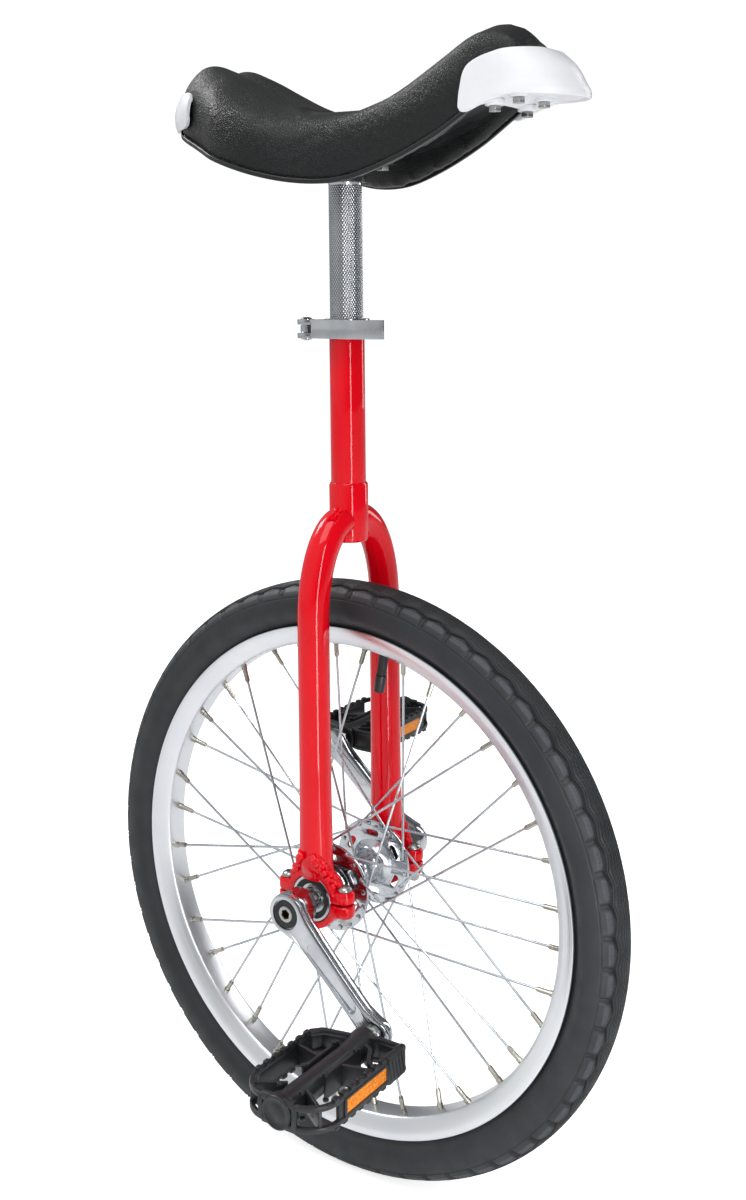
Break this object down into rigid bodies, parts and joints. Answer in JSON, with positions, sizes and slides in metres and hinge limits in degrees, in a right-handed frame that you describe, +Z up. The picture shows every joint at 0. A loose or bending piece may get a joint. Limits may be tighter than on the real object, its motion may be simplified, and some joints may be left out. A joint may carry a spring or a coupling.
{
  "type": "unicycle",
  "caption": "Red steel unicycle with a black contoured saddle, white nose handle, height clamp, spoked wheel, cranks and cage pedals.",
  "frame": {"origin": "where the tyre meets the ground, straight below the middle of the axle", "axes": "+X is the riding direction, +Y is the rider's left along the wheel axle, +Z is up along the seat tube"},
  "size_m": [0.4906, 0.429, 0.927],
  "materials": {
    "tyre_rubber": "matte black, fine tread",
    "black_rubber": "matte black",
    "rim_alloy": "satin silver",
    "rim_tape_vinyl": "matte dark tape",
    "chrome_plate": "bright chrome plate, knurled on the post",
    "polished_alloy": "polished",
    "bearing_steel": "ground steel rings",
    "plain_steel": "zinc or nickel plated",
    "red_paint": "bright gloss red",
    "black_plastic": "moulded, satin black",
    "white_plastic": "soft gloss white",
    "saddle_cover": "pebble-grained black cover",
    "amber_plastic": "amber prismatic reflector"
  },
  "bodies": {
    "frame": {"bearing_housing_right": "red_paint", "bearing_housing_left": "red_paint", "bearing_cap_right": "red_paint", "bearing_cap_left": "red_paint", "bearing_outer_right": "bearing_steel", "bearing_outer_left": "bearing_steel", "cap_bolt_front_right": "plain_steel", "cap_bolt_front_left": "plain_steel", "cap_nut_front_right": "plain_steel", "cap_nut_front_left": "plain_steel", "cap_bolt_rear_right": "plain_steel", "cap_bolt_rear_left": "plain_steel", "cap_nut_rear_right": "plain_steel", "cap_nut_rear_left": "plain_steel", "seat_tube": "red_paint", "fork_crown": "red_paint", "fork_leg_right": "red_paint", "fork_leg_left": "red_paint", "seat_clamp": "polished_alloy", "clamp_bolt": "plain_steel", "clamp_pin": "plain_steel"},
    "wheel": {"tyre": "tyre_rubber", "inner_tube": "black_rubber", "rim": "rim_alloy", "rim_tape": "rim_tape_vinyl", "valve_stem": "black_rubber", "valve_cap": "black_plastic", "spokes_right": "plain_steel", "spokes_left": "plain_steel", "hub_shell": "chrome_plate", "hub_axle": "plain_steel", "bearing_inner_right": "bearing_steel", "bearing_inner_left": "bearing_steel", "crank_right": "polished_alloy", "crank_bolt_right": "black_plastic", "pedal_axle_right": "plain_steel", "crank_left": "polished_alloy", "crank_bolt_left": "black_plastic", "pedal_axle_left": "plain_steel"},
    "pedal_right": {"pedal_cage_right": "black_plastic", "reflector_front_right": "amber_plastic", "reflector_rear_right": "amber_plastic"},
    "pedal_left": {"pedal_cage_left": "black_plastic", "reflector_front_left": "amber_plastic", "reflector_rear_left": "amber_plastic"},
    "saddle": {"seat_post": "chrome_plate", "post_bracket": "plain_steel", "saddle_base": "black_plastic", "saddle_pad": "saddle_cover", "front_handle": "white_plastic", "rear_bumper": "white_plastic", "saddle_bolt_1": "plain_steel", "saddle_bolt_2": "plain_steel", "saddle_bolt_3": "plain_steel", "saddle_bolt_4": "plain_steel", "handle_bolt_1": "plain_steel", "handle_bolt_2": "plain_steel", "handle_bolt_3": "plain_steel", "handle_bolt_4": "plain_steel"},
    "lever": {"clamp_lever": "polished_alloy"}
  },
  "joints": [
    {"name": "wheel_spin", "type": "hinge", "parent": "frame", "child": "wheel", "pos_m": [0, 0, 0.2453], "axis": [0, 1, 0], "continuous": true},
    {"name": "pedal_spin_right", "type": "hinge", "parent": "wheel", "child": "pedal_right", "pos_m": [0.08512, -0.16, 0.17563], "axis": [0, 1, 0], "continuous": true},
    {"name": "pedal_spin_left", "type": "hinge", "parent": "wheel", "child": "pedal_left", "pos_m": [-0.08512, 0.16, 0.31497], "axis": [0, 1, 0], "continuous": true},
    {"name": "saddle_height", "type": "slide", "parent": "frame", "child": "saddle", "axis": [0, 0, 1], "range_m": [-0.05, 0.055]},
    {"name": "clamp_lever_swing", "type": "hinge", "parent": "frame", "child": "lever", "pos_m": [-0.027, -0.018, 0.69675], "axis": [0, 0, -1], "range_deg": [0, 170]}
  ]
}
